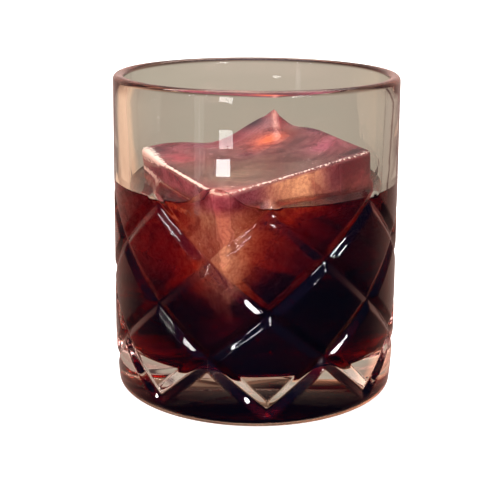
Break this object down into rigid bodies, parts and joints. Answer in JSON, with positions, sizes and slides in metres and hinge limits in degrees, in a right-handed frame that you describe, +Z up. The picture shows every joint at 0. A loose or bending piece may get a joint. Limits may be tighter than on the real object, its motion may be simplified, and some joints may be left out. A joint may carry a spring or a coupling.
{
  "type": "black russian cocktail in a cut-glass tumbler",
  "caption": "Heavy tumbler cut with a lattice of crossing grooves, filled two thirds with a dark coffee-brown drink round one large clear ice cube.",
  "frame": {"origin": "centre of the foot, on the surface the tumbler stands on", "axes": "+Z up along the tumbler's axis; -Y is the front, towards which the ice cube's front corner points"},
  "size_m": [0.086, 0.086, 0.0939],
  "materials": {
    "cut_glass": "clear pressed glass, polished",
    "dark_drink": "clear dark brown-red liquid",
    "clear_ice": "clear ice, lightly frosted and melting"
  },
  "bodies": {
    "root": {"glass": "cut_glass", "drink": "dark_drink", "ice_cube": "clear_ice"}
  },
  "joints": []
}
